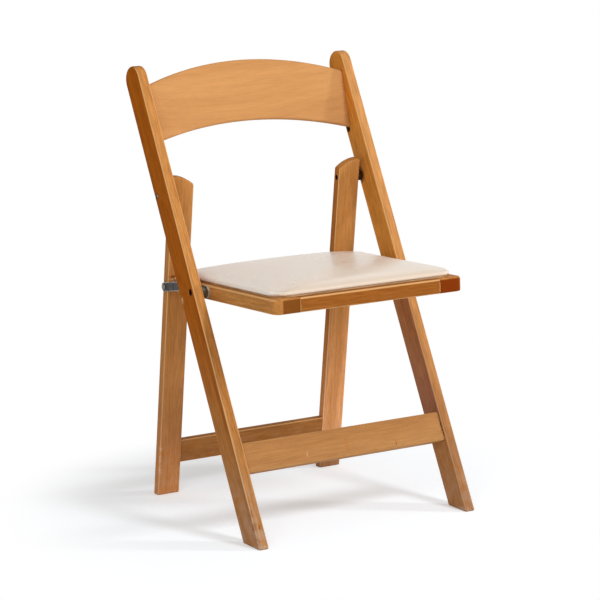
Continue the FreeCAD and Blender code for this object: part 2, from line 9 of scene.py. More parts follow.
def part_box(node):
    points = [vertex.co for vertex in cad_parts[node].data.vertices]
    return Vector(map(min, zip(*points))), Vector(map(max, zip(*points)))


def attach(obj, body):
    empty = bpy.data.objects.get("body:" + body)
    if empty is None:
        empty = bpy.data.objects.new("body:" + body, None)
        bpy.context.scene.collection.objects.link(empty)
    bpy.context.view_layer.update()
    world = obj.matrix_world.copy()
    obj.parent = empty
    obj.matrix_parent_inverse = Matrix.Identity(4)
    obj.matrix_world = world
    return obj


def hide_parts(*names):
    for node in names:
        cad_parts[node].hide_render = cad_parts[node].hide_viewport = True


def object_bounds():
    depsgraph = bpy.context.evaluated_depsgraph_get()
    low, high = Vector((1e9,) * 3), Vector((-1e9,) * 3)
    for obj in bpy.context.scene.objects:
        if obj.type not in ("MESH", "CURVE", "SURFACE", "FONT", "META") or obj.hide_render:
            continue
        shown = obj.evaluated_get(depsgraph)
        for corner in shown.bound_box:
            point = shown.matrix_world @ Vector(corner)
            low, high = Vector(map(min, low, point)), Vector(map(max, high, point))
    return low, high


# Wooden folding chair with an ivory vinyl seat pad, metres, front towards -Y.
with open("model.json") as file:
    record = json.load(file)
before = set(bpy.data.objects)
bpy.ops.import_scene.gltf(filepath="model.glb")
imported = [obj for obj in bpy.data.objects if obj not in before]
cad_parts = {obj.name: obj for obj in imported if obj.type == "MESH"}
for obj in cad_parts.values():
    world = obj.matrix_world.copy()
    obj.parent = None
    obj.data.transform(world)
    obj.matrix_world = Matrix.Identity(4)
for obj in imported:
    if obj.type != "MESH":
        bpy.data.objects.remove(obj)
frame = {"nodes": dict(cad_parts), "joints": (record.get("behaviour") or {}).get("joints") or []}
cadLow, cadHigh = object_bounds()
nodes = frame["nodes"]
joints = {joint["name"]: joint for joint in frame["joints"]}
print("frame loaded:", len(nodes), "nodes")

# Angles of the chair and the camera are in degrees
chair = {
    "postLean": 27.2,
    "legLean": 7.5,
    "seatTilt": 2.4,
    "slatLean": 14.1,
}

cameraLook = {
    "place": (-2.43026, -3.92264, 1.29254),
    "yaw": 31.74,
    "pitch": -11.31,
    "roll": -0.61,
    "lens": 160.0,
    "sensor": 36.0,
    "farClip": 200.0,
}


def makeCamera(look):
    yaw = math.radians(look["yaw"])
    pitch = math.radians(look["pitch"])
    roll = math.radians(look["roll"])
    ahead = Vector((math.sin(yaw) * math.cos(pitch), math.cos(yaw) * math.cos(pitch), math.sin(pitch)))
    levelRight = Vector((math.cos(yaw), -math.sin(yaw), 0))
    levelUp = levelRight.cross(ahead)
    right = levelRight * math.cos(roll) + levelUp * math.sin(roll)
    up = levelUp * math.cos(roll) - levelRight * math.sin(roll)
    data = bpy.data.cameras.new("photoCamera")
    data.lens = look["lens"]
    data.sensor_width = look["sensor"]
    data.clip_end = look["farClip"]
    camera = bpy.data.objects.new("photoCamera", data)
    bpy.context.collection.objects.link(camera)
    turn = Matrix((right, up, -ahead)).transposed().to_4x4()
    camera.matrix_world = Matrix.Translation(look["place"]) @ turn
    bpy.context.scene.camera = camera


makeCamera(cameraLook)
bpy.context.scene.view_settings.view_transform = "Standard"


# Node helpers

def fillInput(tree, socket, value):
    if isinstance(value, bpy.types.NodeSocket):
        tree.links.new(value, socket)
    else:
        socket.default_value = value


def addNode(tree, kind, inputs=None, **settings):
    made = tree.nodes.new(kind)
    for name, value in settings.items():
        setattr(made, name, value)
    for key, value in (inputs or {}).items():
        fillInput(tree, made.inputs[key], value)
    return made


def mathNode(tree, operation, *values):
    return addNode(tree, "ShaderNodeMath", dict(enumerate(values)), operation=operation).outputs[0]


def times(tree, first, second):
    return mathNode(tree, "MULTIPLY", first, second)


def vectorNode(tree, operation, *values):
    made = addNode(tree, "ShaderNodeVectorMath", dict(enumerate(values)), operation=operation)
    return made.outputs["Value" if operation in ("LENGTH", "DOT_PRODUCT") else "Vector"]


def partOf(tree, vector, axis):
    return addNode(tree, "ShaderNodeSeparateXYZ", {0: vector}).outputs[axis]


def noise(tree, vector, scale, detail, roughness=0.5):
    return addNode(tree, "ShaderNodeTexNoise", {
        "Vector": vector, "Scale": scale, "Detail": detail, "Roughness": roughness}).outputs[0]


def mixColor(tree, amount, first, second, blend="MIX"):
    # inputs 6 and 7 and output 2 are the mix node's colour sockets
    made = addNode(tree, "ShaderNodeMix", {"Factor": amount}, data_type="RGBA", blend_type=blend)
    fillInput(tree, made.inputs[6], first)
    fillInput(tree, made.inputs[7], second)
    return made.outputs[2]


def tinted(tree, amount, color, tint):
    return mixColor(tree, amount, color, tint, blend="MULTIPLY")


def ramp(tree, value, low, high, to=(0.0, 1.0)):
    settings = {"Value": value, "From Min": low, "From Max": high, "To Min": to[0], "To Max": to[1]}
    return addNode(tree, "ShaderNodeMapRange", settings, interpolation_type="SMOOTHSTEP").outputs[0]


def newGroup(name, inputs, outputs, kind="ShaderNodeTree"):
    tree = bpy.data.node_groups.new(name, kind)
    for direction, sockets in (("INPUT", inputs), ("OUTPUT", outputs)):
        for socketName, socketKind, value in sockets:
            made = tree.interface.new_socket(
                name=socketName, in_out=direction, socket_type="NodeSocket" + socketKind)
            if value is not None:
                made.default_value = value
    start = tree.nodes.new("NodeGroupInput")
    end = tree.nodes.new("NodeGroupOutput")
    return tree, start.outputs, end.inputs


def useGroup(tree, group, inputs):
    return addNode(tree, "ShaderNodeGroup", inputs, node_tree=group).outputs


def newMaterial(name):
    material = bpy.data.materials.new(name)
    material.use_nodes = True
    material.node_tree.nodes.clear()
    shader = addNode(material.node_tree, "ShaderNodeBsdfPrincipled")
    end = addNode(material.node_tree, "ShaderNodeOutputMaterial")
    material.node_tree.links.new(shader.outputs[0], end.inputs[0])
    return material, material.node_tree, shader.inputs


def addBump(tree, shader, inputs):
    bump = addNode(tree, "ShaderNodeBump", inputs)
    tree.links.new(bump.outputs[0], shader["Normal"])


def dress(piece, material):
    piece.data.materials.clear()
    piece.data.materials.append(material)


def rgb(red, green, blue):
    return (red, green, blue, 1.0)


def scaled(color, factor):
    return rgb(*(channel * factor for channel in color[:3]))


def blended(first, second, share):
    return rgb(*(a + (b - a) * share for a, b in zip(first[:3], second[:3])))


# Stage: a pale floor that keeps the shadow, three soft lamps and an even fill

stageLook = {
    "floorHalf": 40.0,
    "floorColor": rgb(0.88, 0.88, 0.88),
    "floorRoughness": 0.9,
    "shadeColor": rgb(0.75, 0.83, 0.93),
    "floorLift": 0.35,          # glow of the floor near the chair, for camera and mirrored rays alone
    "clearFrom": 0.31,          # metres from the origin where the floor starts to fade to white
    "clearTo": 0.57,            # and where it is white
    "fillColor": rgb(1.0, 0.92, 0.82),
    "fillLevel": 0.38,
}
lampAim = Vector((0.0, 0.0, 0.3))
lampLooks = {
    "keyLight": {"place": (0.96, -2.6, 2.95), "size": 0.9, "power": 54.0, "color": (1.0, 0.98, 0.95)},
    "rightLight": {"place": (3.4, -1.9, 1.6), "size": 0.5, "power": 54.0, "color": (1.0, 0.97, 0.93)},
    "sideLight": {"place": (-2.7, -2.6, 2.1), "size": 2.8, "power": 42.0, "color": (1.0, 0.97, 0.93)},
}


def seenRays(tree):
    path = addNode(tree, "ShaderNodeLightPath").outputs
    shiny = mathNode(tree, "MAXIMUM", path["Is Glossy Ray"], path["Is Transmission Ray"])
    return mathNode(tree, "MAXIMUM", path["Is Camera Ray"], shiny)


def makeFloor(look):
    mesh = bpy.data.meshes.new("floor")
    half = look["floorHalf"]
    corners = [(-half, -half, 0), (half, -half, 0), (half, half, 0), (-half, half, 0)]
    mesh.from_pydata(corners, [], [(0, 1, 2, 3)])
    floor = bpy.data.objects.new("floor", mesh)
    bpy.context.collection.objects.link(floor)
    material, tree, shader = newMaterial("paleFloor")
    shader["Base Color"].default_value = look["floorColor"]
    shader["Roughness"].default_value = look["floorRoughness"]
    shader["Specular IOR Level"].default_value = 0.0
    coords = addNode(tree, "ShaderNodeTexCoord").outputs["Object"]
    away = vectorNode(tree, "LENGTH", coords)
    clear = ramp(tree, away, look["clearFrom"], look["clearTo"])
    shade = addNode(tree, "ShaderNodeBsdfDiffuse", {"Color": look["shadeColor"]})
    lift = addNode(tree, "ShaderNodeEmission", {"Strength": look["floorLift"]})
    near = addNode(tree, "ShaderNodeAddShader", {0: shade.outputs[0], 1: lift.outputs[0]})
    white = addNode(tree, "ShaderNodeEmission")
    shown = addNode(tree, "ShaderNodeMixShader", {0: clear, 1: near.outputs[0], 2: white.outputs[0]})
    plain = shader["Base Color"].node.outputs[0]
    mixed = addNode(tree, "ShaderNodeMixShader", {0: seenRays(tree), 1: plain, 2: shown.outputs[0]})
    end = next(node for node in tree.nodes if node.type == "OUTPUT_MATERIAL")
    tree.links.new(mixed.outputs[0], end.inputs[0])
    mesh.materials.append(material)


def makeWorld(look):
    world = bpy.data.worlds.new("studio")
    bpy.context.scene.world = world
    world.use_nodes = True
    tree = world.node_tree
    tree.nodes.clear()
    fill = addNode(tree, "ShaderNodeBackground", {"Color": look["fillColor"], "Strength": look["fillLevel"]})
    white = addNode(tree, "ShaderNodeBackground", {"Color": rgb(1, 1, 1)})
    mixed = addNode(tree, "ShaderNodeMixShader", {0: seenRays(tree), 1: fill.outputs[0], 2: white.outputs[0]})
    addNode(tree, "ShaderNodeOutputWorld", {0: mixed.outputs[0]})


def makeLamp(name, look):
    data = bpy.data.lights.new(name, "AREA")
    data.shape = "DISK"
    data.size = look["size"]
    data.energy = look["power"]
    data.color = look["color"]
    lamp = bpy.data.objects.new(name, data)
    bpy.context.collection.objects.link(lamp)
    place = Vector(look["place"])
    lamp.location = place
    lamp.rotation_euler = (lampAim - place).to_track_quat("-Z", "Y").to_euler()


makeFloor(stageLook)
makeWorld(stageLook)
for lampName, lampLook in lampLooks.items():
    makeLamp(lampName, lampLook)
print("stage and lights made")


# Shared effects

# Noise layers of the grain: share of the length kept along the board, scale, detail, roughness
grainLayers = {
    "broad": (0.05, 38.0, 2.0, 0.5),
    "fibre": (0.03, 460.0, 3.0, 0.6),
    "short": (0.09, 330.0, 4.0, 0.65),
}
grainLook = {
    "streakBand": (0.35, 0.68),
    "fibreBand": (0.3, 0.7),
    "fibreTones": (-0.2, 0.3),
    "shortBand": (0.32, 0.68),
    "shortTones": (-0.17, 0.15),
    "wanderShare": 0.25,
    "wanderScale": 9.0,
    "wanderDetail": 1.0,
    "drift": (0.05, 0.05, 0.0),     # how far the growth rings wander
    "heart": (0.045, 0.07, 0.0),    # where the middle of the rings lies
    "heartTilt": (math.radians(2.2), math.radians(3.0), 0.0),
    "ringScale": 26.0,
    "ringSharpness": 7.0,
    "fleckShare": 0.2,
    "fleckScale": 420.0,
    "fleckEdge": (0.30, 0.12),
    "fleckDepth": 0.5,
    "shine": (0.34, 0.46),
}
maskOut = [("Mask", "Float", None)]


def makeGrainGroup(look):
    tree, given, out = newGroup(
        "beechGrain",
        [("Vector", "Vector", None), ("Pale", "Color", None), ("Deep", "Color", None),
         ("Streaks", "Float", 0.5), ("Lines", "Float", 0.4), ("Flecks", "Float", 0.3),
         ("Speckle", "Float", 1.0)],
        [("Color", "Color", None), ("Relief", "Float", None), ("Shine", "Float", None)])
    vector = given["Vector"]

    def stretched(share):
        return vectorNode(tree, "MULTIPLY", vector, (1.0, 1.0, share))

    def layer(name):
        share, scale, detail, roughness = grainLayers[name]
        return noise(tree, stretched(share), scale, detail, roughness)

    fibre = layer("fibre")
    wander = addNode(tree, "ShaderNodeTexNoise", {
        "Vector": stretched(look["wanderShare"]), "Scale": look["wanderScale"],
        "Detail": look["wanderDetail"]}).outputs["Color"]
    drift = vectorNode(tree, "MULTIPLY", wander, look["drift"])
    tilted = addNode(tree, "ShaderNodeMapping", {
        "Vector": vectorNode(tree, "ADD", vector, drift),
        "Location": look["heart"], "Rotation": look["heartTilt"]}).outputs[0]
    rings = addNode(tree, "ShaderNodeTexWave", {"Vector": tilted, "Scale": look["ringScale"]},
                    wave_type="RINGS", rings_direction="Z").outputs["Fac"]
    line = mathNode(tree, "POWER", rings, look["ringSharpness"])
    cells = addNode(tree, "ShaderNodeTexVoronoi", {
        "Vector": stretched(look["fleckShare"]), "Scale": look["fleckScale"]}).outputs["Distance"]
    fleck = ramp(tree, cells, *look["fleckEdge"])
    fine = ramp(tree, fibre, *look["fibreBand"], to=look["fibreTones"])
    worked = times(tree, ramp(tree, layer("broad"), *look["streakBand"]), given["Streaks"])
    for mask, amount in ((line, "Lines"), (fleck, "Flecks"), (fine, "Speckle")):
        worked = mathNode(tree, "ADD", worked, times(tree, mask, given[amount]))
    depth = addNode(tree, "ShaderNodeClamp", {0: worked}).outputs[0]
    color = mixColor(tree, depth, given["Pale"], given["Deep"])
    short = ramp(tree, layer("short"), *look["shortBand"], to=look["shortTones"])
    level = mathNode(tree, "ADD", times(tree, short, given["Speckle"]), 1.0)
    tree.links.new(tinted(tree, 1.0, color, level), out["Color"])
    relief = mathNode(tree, "SUBTRACT", fibre, times(tree, fleck, look["fleckDepth"]))
    tree.links.new(relief, out["Relief"])
    tree.links.new(ramp(tree, fibre, *look["fibreBand"], to=look["shine"]), out["Shine"])
    return tree


edgeLook = {
    "bevelSamples": 4,
    "sameness": (0.985, 0.9),       # of the plain and the rounded normal, flat surface to edge
    "patchScale": 70.0,
    "patchDetail": 4.0,
    "patchFrom": 0.75,
    "patchGain": 0.5,
    "patchSoft": 0.12,
}


def makeEdgeWearGroup(look):
    tree, given, out = newGroup(
        "edgeWear",
        [("Vector", "Vector", None), ("Width", "Float", 0.003), ("Patches", "Float", 0.5)], maskOut)
    facing = addNode(tree, "ShaderNodeNewGeometry").outputs["Normal"]
    rounded = addNode(
        tree, "ShaderNodeBevel", {"Radius": given["Width"]}, samples=look["bevelSamples"]).outputs[0]
    edge = ramp(tree, vectorNode(tree, "DOT_PRODUCT", facing, rounded), *look["sameness"])
    patch = noise(tree, given["Vector"], look["patchScale"], look["patchDetail"])
    gain = times(tree, given["Patches"], look["patchGain"])
    start = mathNode(tree, "SUBTRACT", look["patchFrom"], gain)
    worn = ramp(tree, patch, start, mathNode(tree, "ADD", start, look["patchSoft"]))
    tree.links.new(times(tree, edge, worn), out["Mask"])
    return tree


# a pale line where the normal turns between front and side: painted highlight on the rounded edges
arrisHighlightBand = (0.26, 0.45)


def makeArrisHighlightGroup(band):
    tree, given, out = newGroup("arrisHighlight", [("Normal", "Vector", None)], maskOut)
    sides = addNode(tree, "ShaderNodeSeparateXYZ", {0: given["Normal"]}).outputs
    oblique = mathNode(tree, "ABSOLUTE", times(tree, sides["X"], sides["Y"]))
    tree.links.new(ramp(tree, oblique, *band), out["Mask"])
    return tree


markLook = {
    "raggedScale": 300.0,
    "raggedDetail": 3.0,
    "raggedBand": (0.3, 0.7),
    "raggedReach": (-0.45, 0.45),
    "edge": (1.05, 0.75),
}


def makePlacedMarkGroup(look):
    tree, given, out = newGroup(
        "placedMark",
        [("Vector", "Vector", None), ("Centre", "Vector", None), ("Size", "Vector", None)], maskOut)
    away = vectorNode(tree, "SUBTRACT", given["Vector"], given["Centre"])
    far = vectorNode(tree, "LENGTH", vectorNode(tree, "DIVIDE", away, given["Size"]))
    ragged = noise(tree, given["Vector"], look["raggedScale"], look["raggedDetail"])
    far = mathNode(tree, "ADD", far, ramp(tree, ragged, *look["raggedBand"], to=look["raggedReach"]))
    tree.links.new(ramp(tree, far, *look["edge"]), out["Mask"])
    return tree


dustLook = {
    "mottleScale": 60.0,
    "mottleDetail": 5.0,
    "mottleBand": (0.25, 0.75),
}


def makeDustGroup(look):
    tree, given, out = newGroup("floorDust", [("Vector", "Vector", None), ("Height", "Float", 0.12)], maskOut)
    height = partOf(tree, given["Vector"], "Z")
    low = ramp(tree, mathNode(tree, "DIVIDE", height, given["Height"]), 1.0, 0.0)
    mottle = noise(tree, given["Vector"], look["mottleScale"], look["mottleDetail"])
    tree.links.new(times(tree, low, ramp(tree, mottle, *look["mottleBand"])), out["Mask"])
    return tree


beechGrain = makeGrainGroup(grainLook)
edgeWear = makeEdgeWearGroup(edgeLook)
arrisHighlight = makeArrisHighlightGroup(arrisHighlightBand)
placedMark = makePlacedMarkGroup(markLook)
floorDust = makeDustGroup(dustLook)
print("shared effects built")


# Lacquered beech

beech = {
    "pale": rgb(0.640, 0.295, 0.088),
    "deep": rgb(0.440, 0.160, 0.030),
    "stain": rgb(0.460, 0.112, 0.002),
    # near black: painted shade in holes and joint gaps
    "bore": rgb(0.030, 0.008, 0.003),
    # pale edge colour: painted highlight on the arrises, and the pale glue lines of the seat joints
    "arris": rgb(0.900, 0.560, 0.260),
    "worn": rgb(0.800, 0.560, 0.340),
    "dust": rgb(0.500, 0.360, 0.270),
    "bleach": rgb(0.760, 0.480, 0.260),
    "endTone": rgb(0.210, 0.036, 0.003),
    "specular": 0.015,
    "bump": 0.06,
    "bumpDepth": 0.0006,
    "wearWidth": 0.0026,
    "wearPatches": 0.35,
    "wearStrength": 0.5,
    "wearRoughness": 0.2,
    "roundEdge": 0.0055,            # how far worn edges look rounded
    "roundSamples": 8,
    "broadFacing": (0.6, 0.95),     # sideways part of the normal, where the broad side starts and is full
    "endFacing": (0.6, 0.98),       # the same along the board for its end grain
    "endSoft": 0.004,
    "faceRise": (0.1, 0.4),         # heights between which the tint of the broad side, a deeper stain with painted shade, comes up
    "faceLow": 0.35,                # its share below them
    "headRise": (0.58, 0.72),
    "lowRise": (0.05, 0.42),
    "innerRise": (0.11, 0.18),
    "innerFall": (0.43, 0.37),
    "dustTop": 0.16,
    "footFull": 0.2,                # share of the foot's height that has the full tint
}


def alongX(lean):
    return (math.radians(lean), math.radians(-90), 0.0)


alongY = (math.radians(90 + chair["seatTilt"]), 0.0, 0.0)
alongPost = (math.radians(chair["postLean"]), 0.0, 0.0)
alongLeg = (math.radians(-chair["legLean"]), 0.0, 0.0)

# turn, offset: how the grain lies in the board; tone: its brightness; stain: how deep it took the stain;
# bleach: how much light has faded it; streaks, lines, flecks, speckle: strength of the grain's features;
# face, faceTint: strength and tint of its broad side, a deeper stain together with painted shade, and painted
# light on the right post's inner side; headTint: tint of that side near the top, partly deeper lacquer and
# partly painted shade;
# ends, endTone: strength and colour of its end grain; endFrom: distance from the middle plane up to which
# the end grain shows; arris: strength of its pale edges, a painted highlight; low: painted light and shade, a
# tint that fades out from the floor upwards;
# lowSide: painted shade of the seat on the side that faces left, below the seat; dust: strength of floor
# dust;
# foot, footTop: tint of its foot and the height where that ends
plainBoard = {
    "stain": 0.0, "bleach": 0.0, "streaks": 0.5, "lines": 0.12, "flecks": 0.32, "speckle": 1.0,
    "face": 0.0, "faceTint": rgb(0.720, 0.440, 0.054), "ends": 0.5, "endTone": beech["endTone"],
    "arris": 0.6, "dust": 0.0,
}
woodPieces = {
    "left_post": {
        "turn": alongPost, "offset": (0.31, 0.02, 0.4), "tone": 0.93, "streaks": 0.7, "lines": 0.2,
        "face": 1.0, "headTint": rgb(1.1, 1.1, 0.35), "low": rgb(0.89, 0.99, 1.28), "dust": 0.6},
    # its faceTint lightens the inner side that faces left: painted light
    "right_post": {
        "turn": alongPost, "offset": (-0.27, 0.11, 1.3), "tone": 0.96, "bleach": 0.15,
        "face": 1.0, "faceTint": rgb(1.14, 1.05, 0.62), "headTint": rgb(1.06, 0.95, 0.72),
        "low": rgb(0.63, 0.60, 0.67), "lowSide": rgb(0.80, 0.80, 1.5), "dust": 0.35},
    "back_slat": {
        "turn": alongX(chair["slatLean"]), "offset": (0.07, 0.33, 2.1), "tone": 0.95, "bleach": 0.24,
        "streaks": 0.4, "flecks": 0.12, "speckle": 0.22, "arris": 0.0},
    "front_stretcher": {
        "turn": alongX(chair["postLean"]), "offset": (0.52, 0.13, 3.7), "tone": 0.72, "bleach": 0.2,
        "speckle": 0.5, "arris": 0.15, "dust": 0.15},
    "left_rear_leg": {
        "turn": alongLeg, "offset": (0.83, 0.21, 4.9), "tone": 0.85, "bleach": 0.04,
        "streaks": 0.4, "speckle": 0.7, "ends": 0.15, "low": rgb(0.90, 0.88, 1.08), "dust": 0.35,
        "foot": rgb(1.3, 1.2, 1.05), "footTop": 0.16},
    "right_rear_leg": {
        "turn": alongLeg, "offset": (-0.71, 0.45, 5.3), "tone": 0.85, "face": 0.5,
        "streaks": 0.4, "speckle": 0.7, "ends": 0.15, "low": rgb(1.55, 1.70, 2.6), "dust": 0.4,
        "foot": rgb(0.52, 0.48, 0.44), "footTop": 0.04},
    # its low tone is painted shade: the stretcher lies in the seat's shadow
    "rear_stretcher": {
        "turn": alongX(-chair["legLean"]), "offset": (0.95, 0.62, 6.2), "tone": 0.66, "stain": 0.12,
        "speckle": 0.7, "dust": 0.2},
    "seat_left_rail": {
        "turn": alongY, "offset": (0.41, 0.77, 7.4), "tone": 0.88,
        "ends": 0.85, "endFrom": 0.1735, "endTone": rgb(0.160, 0.042, 0.003)},
    "seat_right_rail": {"turn": alongY, "offset": (-0.63, 0.18, 8.8), "tone": 0.9, "ends": 1.0},
    "seat_front_rail": {
        "turn": alongX(chair["seatTilt"]), "offset": (0.24, 0.56, 9.1), "tone": 0.63, "stain": 0.5},
    "seat_rear_rail": {
        "turn": alongX(chair["seatTilt"]), "offset": (0.66, 0.91, 1.9), "tone": 0.86, "stain": 0.4},
}
dowelLook = {"turn": alongX(0), "offset": (0.2, 0.4, 0.6), "tone": 1.15}

# Chips, rubbed and dark places, pale glue lines and a painted shadow in a joint gap: centre, size, tone,
# strength
markedPlaces = {
    "left_rear_leg": [
        ((-0.1945, 0.1735, 0.088), (0.0022, 0.004, 0.008), "worn", 0.7),
        ((-0.1945, 0.1760, 0.066), (0.0020, 0.004, 0.013), "worn", 0.7),
        ((-0.1945, 0.1785, 0.047), (0.0026, 0.004, 0.009), "worn", 0.7),
        ((-0.1870, 0.1312, 0.4115), (0.0085, 0.006, 0.0022), "endTone", 0.7),
        ((-0.1850, 0.1318, 0.4060), (0.0080, 0.006, 0.0018), "worn", 0.7),
    ],
    "left_post": [
        ((-0.2215, 0.0345, 0.3885), (0.003, 0.0035, 0.0055), "worn", 0.7),
        ((-0.2115, -0.1995, 0.037), (0.0026, 0.003, 0.005), "endTone", 0.7),
        ((-0.2120, -0.2040, 0.004), (0.010, 0.010, 0.004), "worn", 0.7),
        ((-0.2205, -0.2082, 0.020), (0.0030, 0.006, 0.012), "endTone", 0.6),
        ((-0.2205, -0.1980, 0.040), (0.0026, 0.006, 0.012), "endTone", 0.5),
        ((-0.2205, -0.1877, 0.060), (0.0022, 0.006, 0.012), "endTone", 0.4),
    ],
    "right_post": [
        ((0.2080, -0.2040, 0.004), (0.012, 0.012, 0.004), "worn", 0.7),
    ],
    "seat_front_rail": [
        ((-0.1411, -0.2240, 0.412), (0.0008, 0.008, 0.014), "arris", 0.7),
        ((0.1411, -0.2240, 0.412), (0.0008, 0.008, 0.014), "arris", 0.7),
    ],
    "front_stretcher": [
        ((-0.0815, -0.1455, 0.133), (0.0012, 0.008, 0.012), "worn", 0.3),
        ((0.1005, -0.1485, 0.128), (0.0010, 0.006, 0.008), "endTone", 0.7),
        ((0.0005, -0.1460, 0.142), (0.0050, 0.012, 0.016), "deep", 0.3),
        # painted shadow in the gap where the stretcher meets the right post
        ((0.2024, -0.1460, 0.142), (0.0013, 0.020, 0.022), "bore", 0.8),
    ],
}

# Painted shade in the bolt holes and in the gap around the leg pivot: axis across the chair (y, z), radius,
# soft rim, strength, and the distances from the middle plane where the painted shade starts, is full, still
# is full and ends
liftAxis, swingAxis = (joints[name]["pos_m"][1:] for name in ("seat_lift", "leg_swing"))
outerFace = cadHigh[0]
postBoreShades = [
    {"axis": liftAxis, "radius": 0.0068, "rim": 0.001, "strength": 1.0,
     "span": (0.0, 0.1, outerFace - 0.0022, outerFace - 0.0004)},
    {"axis": swingAxis, "radius": 0.0115, "rim": 0.007, "strength": 0.55, "span": (0.0, 0.1, 0.2031, 0.2036)},
    {"axis": (0.1598, 0.6396), "radius": 0.0075, "rim": 0.002, "strength": 0.85,
     "span": (0.2029, 0.2036, 0.2115, 0.2125)},
]
legBoreShades = [
    {"axis": swingAxis, "radius": 0.0052, "rim": 0.001, "strength": 1.0, "span": (0.1517, 0.1530, 1.0, 2.0)},
]
paintedBoreShades = {
    "left_post": postBoreShades, "right_post": postBoreShades, "left_rear_leg": legBoreShades, "right_rear_leg": legBoreShades,
}


def boreMask(tree, vector, bore):
    away = vectorNode(tree, "SUBTRACT", vector, (0.0, *bore["axis"]))
    reach = vectorNode(tree, "LENGTH", vectorNode(tree, "MULTIPLY", away, (0.0, 1.0, 1.0)))
    side = mathNode(tree, "ABSOLUTE", partOf(tree, vector, "X"))
    start, full, still, end = bore["span"]
    within = times(tree, ramp(tree, side, start, full), ramp(tree, side, end, still))
    near = ramp(tree, reach, bore["radius"] + bore["rim"], bore["radius"], to=(0.0, bore["strength"]))
    return times(tree, near, within)


def boardTone(key, look):
    stained = blended(beech[key], beech["stain"], look["stain"])
    return scaled(blended(stained, beech["bleach"], look["bleach"]), look["tone"])


def tintedBelow(tree, height, band, color, tint):
    # the full tint under the band of heights, none above it
    fading = mixColor(tree, ramp(tree, height, *band), tint, rgb(1, 1, 1))
    return tinted(tree, 1.0, color, fading)


def beechMaterial(name, own):
    look = {**plainBoard, **own}
    material, tree, shader = newMaterial(name + "Beech")
    coords = addNode(tree, "ShaderNodeTexCoord").outputs
    place = coords["Object"]
    height = partOf(tree, place, "Z")
    along = addNode(tree, "ShaderNodeMapping", {
        "Vector": place, "Location": look["offset"], "Rotation": look["turn"]}).outputs[0]
    grain = useGroup(tree, beechGrain, {
        "Vector": along, "Pale": boardTone("pale", look), "Deep": boardTone("deep", look),
        "Streaks": look["streaks"], "Lines": look["lines"],
        "Flecks": look["flecks"], "Speckle": look["speckle"]})
    color = grain["Color"]

    # The broad side of a board takes a deeper stain together with painted shade, with painted light on the
    # right post's inner side, and its end grain drinks more stain
    facing = partOf(tree, coords["Normal"], "X")
    sides = mathNode(tree, "ABSOLUTE", facing)
    if look["face"]:
        broad = times(tree, ramp(tree, sides, *beech["broadFacing"], to=(0.0, look["face"])),
                      ramp(tree, height, *beech["faceRise"], to=(beech["faceLow"], 1.0)))
        color = tinted(tree, broad, color, look["faceTint"])
    if "headTint" in look:
        head = times(tree, ramp(tree, sides, *beech["broadFacing"]), ramp(tree, height, *beech["headRise"]))
        color = tinted(tree, head, color, look["headTint"])
    turned = addNode(tree, "ShaderNodeMapping", {
        "Vector": coords["Normal"], "Rotation": look["turn"]}).outputs[0]
    ends = mathNode(tree, "ABSOLUTE", partOf(tree, turned, "Z"))
    endGrain = ramp(tree, ends, *beech["endFacing"], to=(0.0, look["ends"]))
    if "endFrom" in look:
        across = mathNode(tree, "ABSOLUTE", partOf(tree, place, "X"))
        shown = ramp(tree, across, look["endFrom"] + beech["endSoft"], look["endFrom"])
        endGrain = times(tree, endGrain, shown)
    color = mixColor(tree, endGrain, color, look["endTone"])

    # Painted highlights on the edges, wear, marks, and painted shade in holes and gaps
    line = useGroup(tree, arrisHighlight, {"Normal": turned})["Mask"]
    color = mixColor(tree, times(tree, line, look["arris"]), color, beech["arris"])
    wear = useGroup(tree, edgeWear, {
        "Vector": place, "Width": beech["wearWidth"], "Patches": beech["wearPatches"]})["Mask"]
    color = mixColor(tree, times(tree, wear, beech["wearStrength"]), color, beech["worn"])
    for centre, size, tone, strength in markedPlaces.get(name, []):
        mark = useGroup(tree, placedMark, {"Vector": place, "Centre": centre, "Size": size})["Mask"]
        color = mixColor(tree, times(tree, mark, strength), color, beech[tone])
    # painted shade in bolt holes and in the gap around the leg pivot
    for bore in paintedBoreShades.get(name, []):
        color = mixColor(tree, boreMask(tree, place, bore), color, beech["bore"])

    # Painted light and shade near the floor and under the seat, and floor dust
    # the low tint paints floor and lamp light on lower parts, and the seat's shadow on the right post
    if "low" in look:
        color = tintedBelow(tree, height, beech["lowRise"], color, look["low"])
    # painted shade of the seat on the right post's side that faces left
    if "lowSide" in look:
        under = times(tree, ramp(tree, height, *beech["innerFall"]), ramp(tree, height, *beech["innerRise"]))
        leftwards = ramp(tree, facing, *(-edge for edge in beech["broadFacing"]))
        color = tinted(tree, times(tree, leftwards, under), color, look["lowSide"])
    if look["dust"]:
        dust = useGroup(tree, floorDust, {"Vector": place, "Height": beech["dustTop"]})["Mask"]
        color = mixColor(tree, times(tree, dust, look["dust"]), color, beech["dust"])
    if "foot" in look:
        footBand = (look["footTop"] * beech["footFull"], look["footTop"])
        color = tintedBelow(tree, height, footBand, color, look["foot"])

    tree.links.new(color, shader["Base Color"])
    rough = mathNode(tree, "ADD", grain["Shine"], times(tree, wear, beech["wearRoughness"]))
    tree.links.new(rough, shader["Roughness"])
    shader["Specular IOR Level"].default_value = beech["specular"]
    rounded = addNode(
        tree, "ShaderNodeBevel", {"Radius": beech["roundEdge"]}, samples=beech["roundSamples"]).outputs[0]
    addBump(tree, shader, {
        "Height": grain["Relief"], "Strength": beech["bump"], "Distance": beech["bumpDepth"],
        "Normal": rounded})
    return material


for pieceName, pieceLook in woodPieces.items():
    dress(nodes[pieceName], beechMaterial(pieceName, pieceLook))
rawBeech = beechMaterial("dowel", dowelLook)
for pieceName in ("front_stretcher_dowels", "rear_stretcher_dowels", "seat_rail_dowels"):
    dress(nodes[pieceName], rawBeech)
print("beech pieces dressed:", len(woodPieces))
